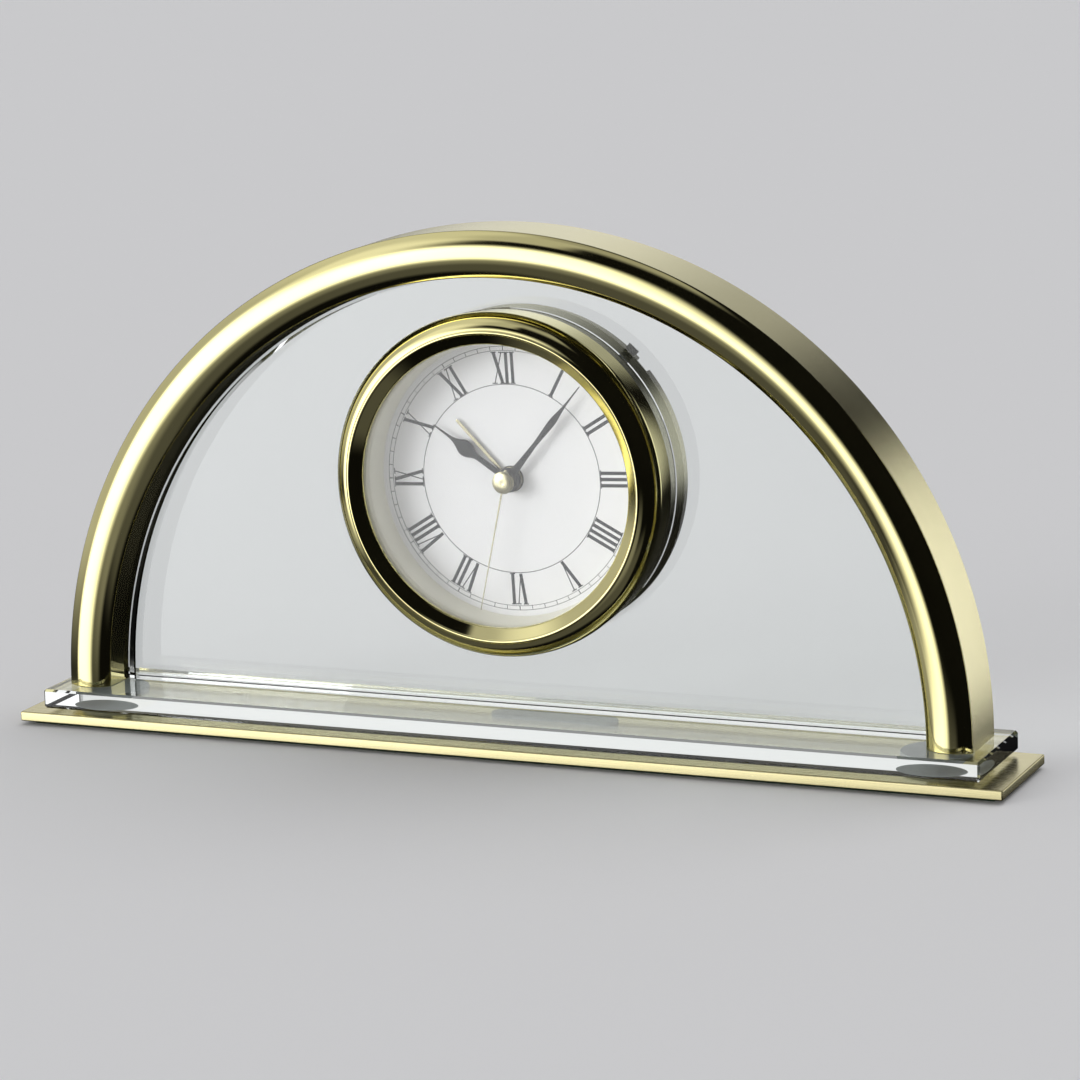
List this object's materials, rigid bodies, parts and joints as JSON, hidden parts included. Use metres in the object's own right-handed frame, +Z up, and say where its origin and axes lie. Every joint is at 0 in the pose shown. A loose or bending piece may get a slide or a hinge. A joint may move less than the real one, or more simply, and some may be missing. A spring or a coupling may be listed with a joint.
{
  "type": "arched glass mantel clock",
  "caption": "Mantel clock with a round alarm clock set in a half-round glass panel under a brass arch, on a glass slab and a brass base plate.",
  "frame": {"origin": "middle of the underside of the felt base", "axes": "+X to the right along the base as seen from the dial side, -Y towards the viewer of the dial, +Z up"},
  "size_m": [0.28, 0.0423, 0.1393],
  "materials": {
    "brass_polished": "polished",
    "brass_satin": "satin",
    "brass_hand": "satin",
    "clear_glass": "polished",
    "clear_resin": "clear",
    "satin_metal": "satin",
    "black_hand": "gloss",
    "dial_white": "matt",
    "ivory_plastic": "matt",
    "black_plastic": "moulded",
    "white_plastic": "moulded",
    "grey_foam": "matt",
    "green_felt": "felt",
    "steel": "plain",
    "copper_coil": "enamelled",
    "board_green": "lacquered",
    "buzzer_brass": "plain",
    "battery_sleeve": "printed"
  },
  "bodies": {
    "clock_body": {"arch": "brass_polished", "bezel": "brass_polished", "base_plate": "brass_satin", "arch_foot_plugs": "brass_satin", "centre_bush": "brass_satin", "glass_slab": "clear_glass", "glass_panel": "clear_glass", "lens": "clear_glass", "clock_sleeve": "clear_resin", "clock_barrel": "satin_metal", "dial": "dial_white", "dial_wall": "ivory_plastic", "rear_cover": "black_plastic", "case_front": "black_plastic", "case_back": "black_plastic", "movement_holder": "black_plastic", "bonding_pads": "grey_foam", "lens_gasket": "grey_foam", "felt_base": "green_felt", "case_screws": "steel", "cover_screws": "steel", "stator": "steel", "switch_pin": "steel", "battery_contact_plus": "steel", "battery_contact_minus": "steel", "battery_spring": "steel", "quartz_crystal": "steel", "coil": "copper_coil", "circuit_board": "board_green", "buzzer": "buzzer_brass", "battery": "battery_sleeve"},
    "time_setter": {"minute_wheel": "white_plastic", "time_knob": "black_plastic"},
    "minute_body": {"cannon_pinion": "white_plastic", "minute_hand": "black_hand"},
    "hour_body": {"hour_wheel": "white_plastic", "hour_hand": "black_hand"},
    "alarm_setter_body": {"alarm_setter": "white_plastic", "alarm_knob": "black_plastic"},
    "alarm_body": {"alarm_wheel": "white_plastic", "alarm_hand": "brass_hand"},
    "seconds_body": {"seconds_wheel": "white_plastic", "second_hand": "brass_hand", "hand_cap": "brass_polished"},
    "drive_body": {"drive_wheel": "white_plastic"},
    "centre_body": {"centre_wheel": "white_plastic"},
    "third_body": {"third_wheel": "white_plastic"},
    "rotor_body": {"rotor": "white_plastic"},
    "door_body": {"battery_door": "black_plastic"},
    "switch_body": {"alarm_switch": "steel"}
  },
  "joints": [
    {"name": "time_setting", "type": "hinge", "parent": "clock_body", "child": "time_setter", "pos_m": [-0.00939, 0, 0.07752], "axis": [0, 1, 0], "continuous": true},
    {"name": "minute_turn", "type": "hinge", "parent": "clock_body", "child": "minute_body", "pos_m": [0, 0, 0.0721], "axis": [0, 1, 0], "continuous": true},
    {"name": "hour_turn", "type": "hinge", "parent": "clock_body", "child": "hour_body", "pos_m": [0, 0, 0.0721], "axis": [0, 1, 0], "continuous": true},
    {"name": "alarm_setting", "type": "hinge", "parent": "clock_body", "child": "alarm_setter_body", "pos_m": [0.01173, 0, 0.07887], "axis": [0, 1, 0], "continuous": true},
    {"name": "alarm_turn", "type": "hinge", "parent": "clock_body", "child": "alarm_body", "pos_m": [0, 0, 0.0721], "axis": [0, 1, 0], "continuous": true},
    {"name": "third_turn", "type": "hinge", "parent": "clock_body", "child": "third_body", "pos_m": [0, 0, 0.08264], "axis": [0, 1, 0], "continuous": true},
    {"name": "second_turn", "type": "hinge", "parent": "clock_body", "child": "seconds_body", "pos_m": [0, 0, 0.0721], "axis": [0, 1, 0], "continuous": true},
    {"name": "rotor_turn", "type": "hinge", "parent": "clock_body", "child": "rotor_body", "pos_m": [0.0085, 0, 0.08573], "axis": [0, 1, 0], "continuous": true},
    {"name": "drive_turn", "type": "hinge", "parent": "clock_body", "child": "drive_body", "pos_m": [0.00887, 0, 0.06698], "axis": [0, 1, 0], "continuous": true},
    {"name": "centre_turn", "type": "hinge", "parent": "clock_body", "child": "centre_body", "pos_m": [0, 0, 0.0721], "axis": [0, 1, 0], "continuous": true},
    {"name": "door_slide", "type": "slide", "parent": "clock_body", "child": "door_body", "axis": [0, 0, -1], "range_m": [0, 0.01]},
    {"name": "switch_swing", "type": "hinge", "parent": "clock_body", "child": "switch_body", "pos_m": [0.01874, 0.0165, 0.09291], "axis": [0, 1, 0], "range_deg": [0, 12]}
  ],
  "couplings": [
    {"joint": "minute_turn", "follows": "time_setting", "ratio": -3},
    {"joint": "hour_turn", "follows": "time_setting", "ratio": -0.25},
    {"joint": "alarm_turn", "follows": "alarm_setting", "ratio": -0.5},
    {"joint": "second_turn", "follows": "third_turn", "ratio": -0.16667},
    {"joint": "rotor_turn", "follows": "third_turn", "ratio": -5},
    {"joint": "drive_turn", "follows": "third_turn", "ratio": 0.022222},
    {"joint": "centre_turn", "follows": "third_turn", "ratio": -0.0027778}
  ]
}
